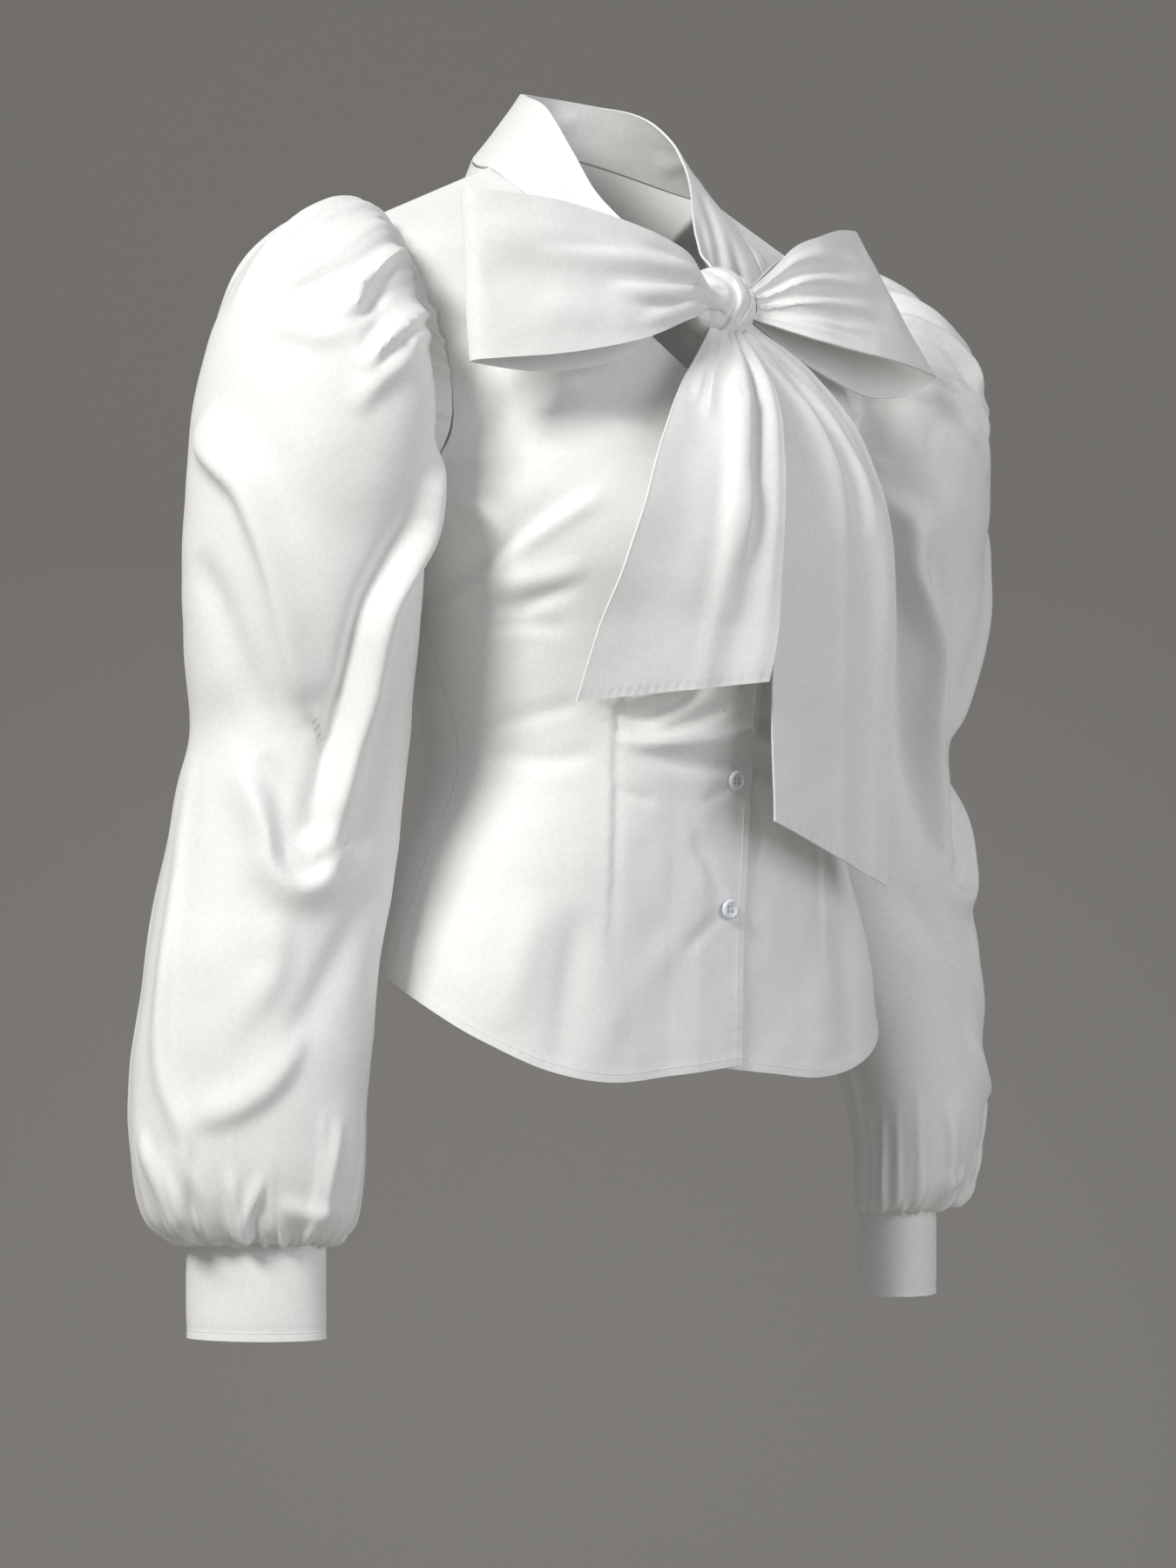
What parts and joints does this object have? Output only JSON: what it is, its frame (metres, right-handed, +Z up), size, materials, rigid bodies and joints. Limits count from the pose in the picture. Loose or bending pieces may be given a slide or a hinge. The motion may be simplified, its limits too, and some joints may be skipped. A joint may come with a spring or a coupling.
{
  "type": "tie neck blouse",
  "caption": "White cotton blouse in the pose of wear, hollow, with puffed full sleeves, deep cuffs, a stand collar and a large tied bow.",
  "frame": {"origin": "middle of the neck, level with the side neck points, where the wearer's neck and shoulders hold the blouse up", "axes": "+Z up, -Y the way the wearer faces, -X the wearer's right arm"},
  "size_m": [0.6246, 0.2717, 0.7227],
  "materials": {
    "poplin": "crisp white cotton poplin with a faint sheen",
    "button": "white four-hole shirt button, slightly pearly"
  },
  "bodies": {
    "root": {"front_right": "poplin", "front_left": "poplin", "back": "poplin", "sleeve_right": "poplin", "sleeve_left": "poplin", "cuff_right": "poplin", "cuff_left": "poplin", "collar_band": "poplin", "bow_loop_right": "poplin", "bow_loop_left": "poplin", "bow_knot": "poplin", "tie_tail_upper": "poplin", "tie_tail_under": "poplin", "button_front_1": "button", "button_front_2": "button", "button_front_3": "button", "button_front_4": "button", "button_cuff_left": "button", "button_cuff_right": "button"}
  },
  "joints": []
}
